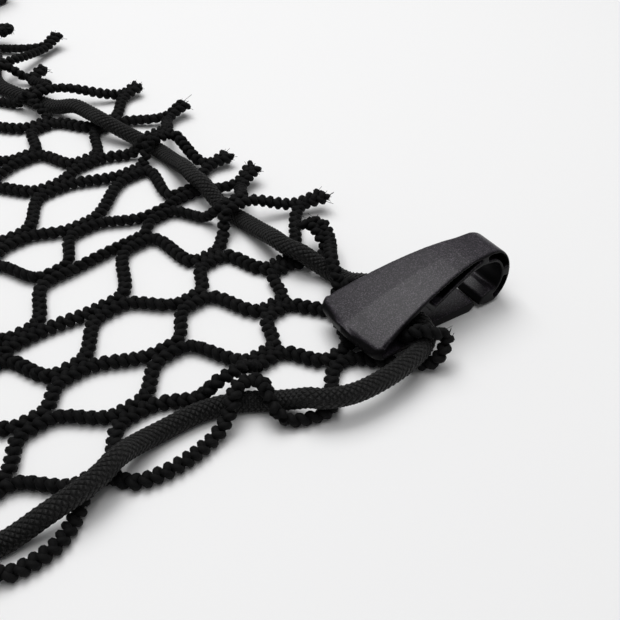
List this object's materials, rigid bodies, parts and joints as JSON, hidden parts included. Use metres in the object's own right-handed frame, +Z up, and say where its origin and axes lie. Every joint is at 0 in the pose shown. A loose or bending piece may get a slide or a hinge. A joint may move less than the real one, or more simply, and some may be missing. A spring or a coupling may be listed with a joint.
{
  "type": "cargo net",
  "caption": "Small elastic luggage net, knitted in open diamonds, with a braided cord woven round its edge and a snap hook at every corner.",
  "frame": {"origin": "middle of the net's footprint, on the surface that it lies on", "axes": "+Y along the knitted strands and the hooks, +X across them from selvedge to selvedge, +Z up"},
  "size_m": [0.3714, 0.3806, 0.0229],
  "materials": {
    "knitted_yarn": "matt black knitted elastic yarn",
    "braided_cord": "matt black braid",
    "hook_plastic": "charcoal, fine moulded grain"
  },
  "bodies": {
    "root": {"net": "knitted_yarn", "border_cord": "braided_cord", "hook_back_right": "hook_plastic", "hook_back_left": "hook_plastic", "hook_front_right": "hook_plastic", "hook_front_left": "hook_plastic"}
  },
  "joints": []
}
